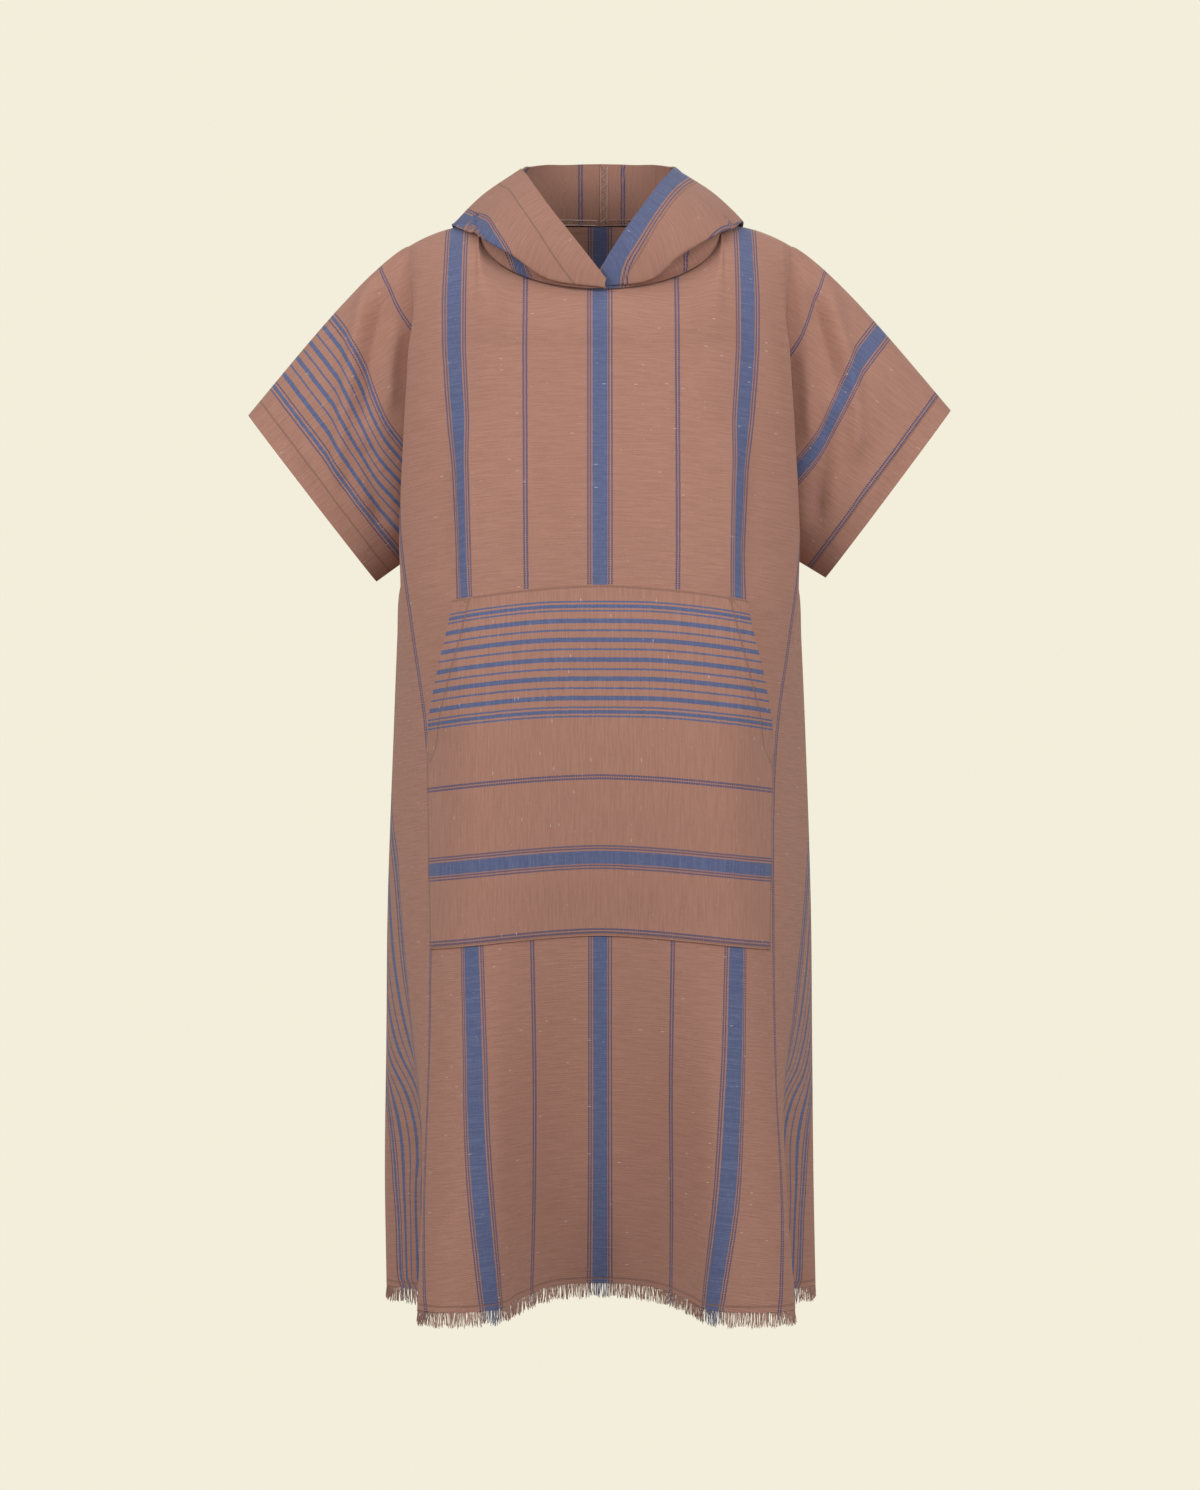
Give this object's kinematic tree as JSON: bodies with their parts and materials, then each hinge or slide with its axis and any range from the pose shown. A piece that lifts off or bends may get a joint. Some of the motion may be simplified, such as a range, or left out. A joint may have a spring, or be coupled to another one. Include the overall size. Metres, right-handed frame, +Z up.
{
  "type": "surf poncho",
  "caption": "Hooded surf poncho of striped cotton towelling with short sleeves, a kangaroo pocket and a fringed hem, filled out as if worn.",
  "frame": {"origin": "between the wearer's shoulders, at the height where the shoulders and nape carry the poncho", "axes": "+Z up, from the hem to the hood; -Y is the front; +X is the viewer's right, the wearer's left"},
  "size_m": [0.7022, 0.3327, 1.1451],
  "materials": {
    "body_cloth": "matte",
    "hood_cloth": "matte",
    "pocket_cloth": "matte",
    "fringe_yarn": "matte"
  },
  "bodies": {
    "root": {"front": "body_cloth", "back": "body_cloth", "sleeve_left": "body_cloth", "sleeve_right": "body_cloth", "hood_left": "hood_cloth", "hood_right": "hood_cloth", "pocket": "pocket_cloth", "fringe_front": "fringe_yarn", "fringe_back": "fringe_yarn"}
  },
  "joints": []
}
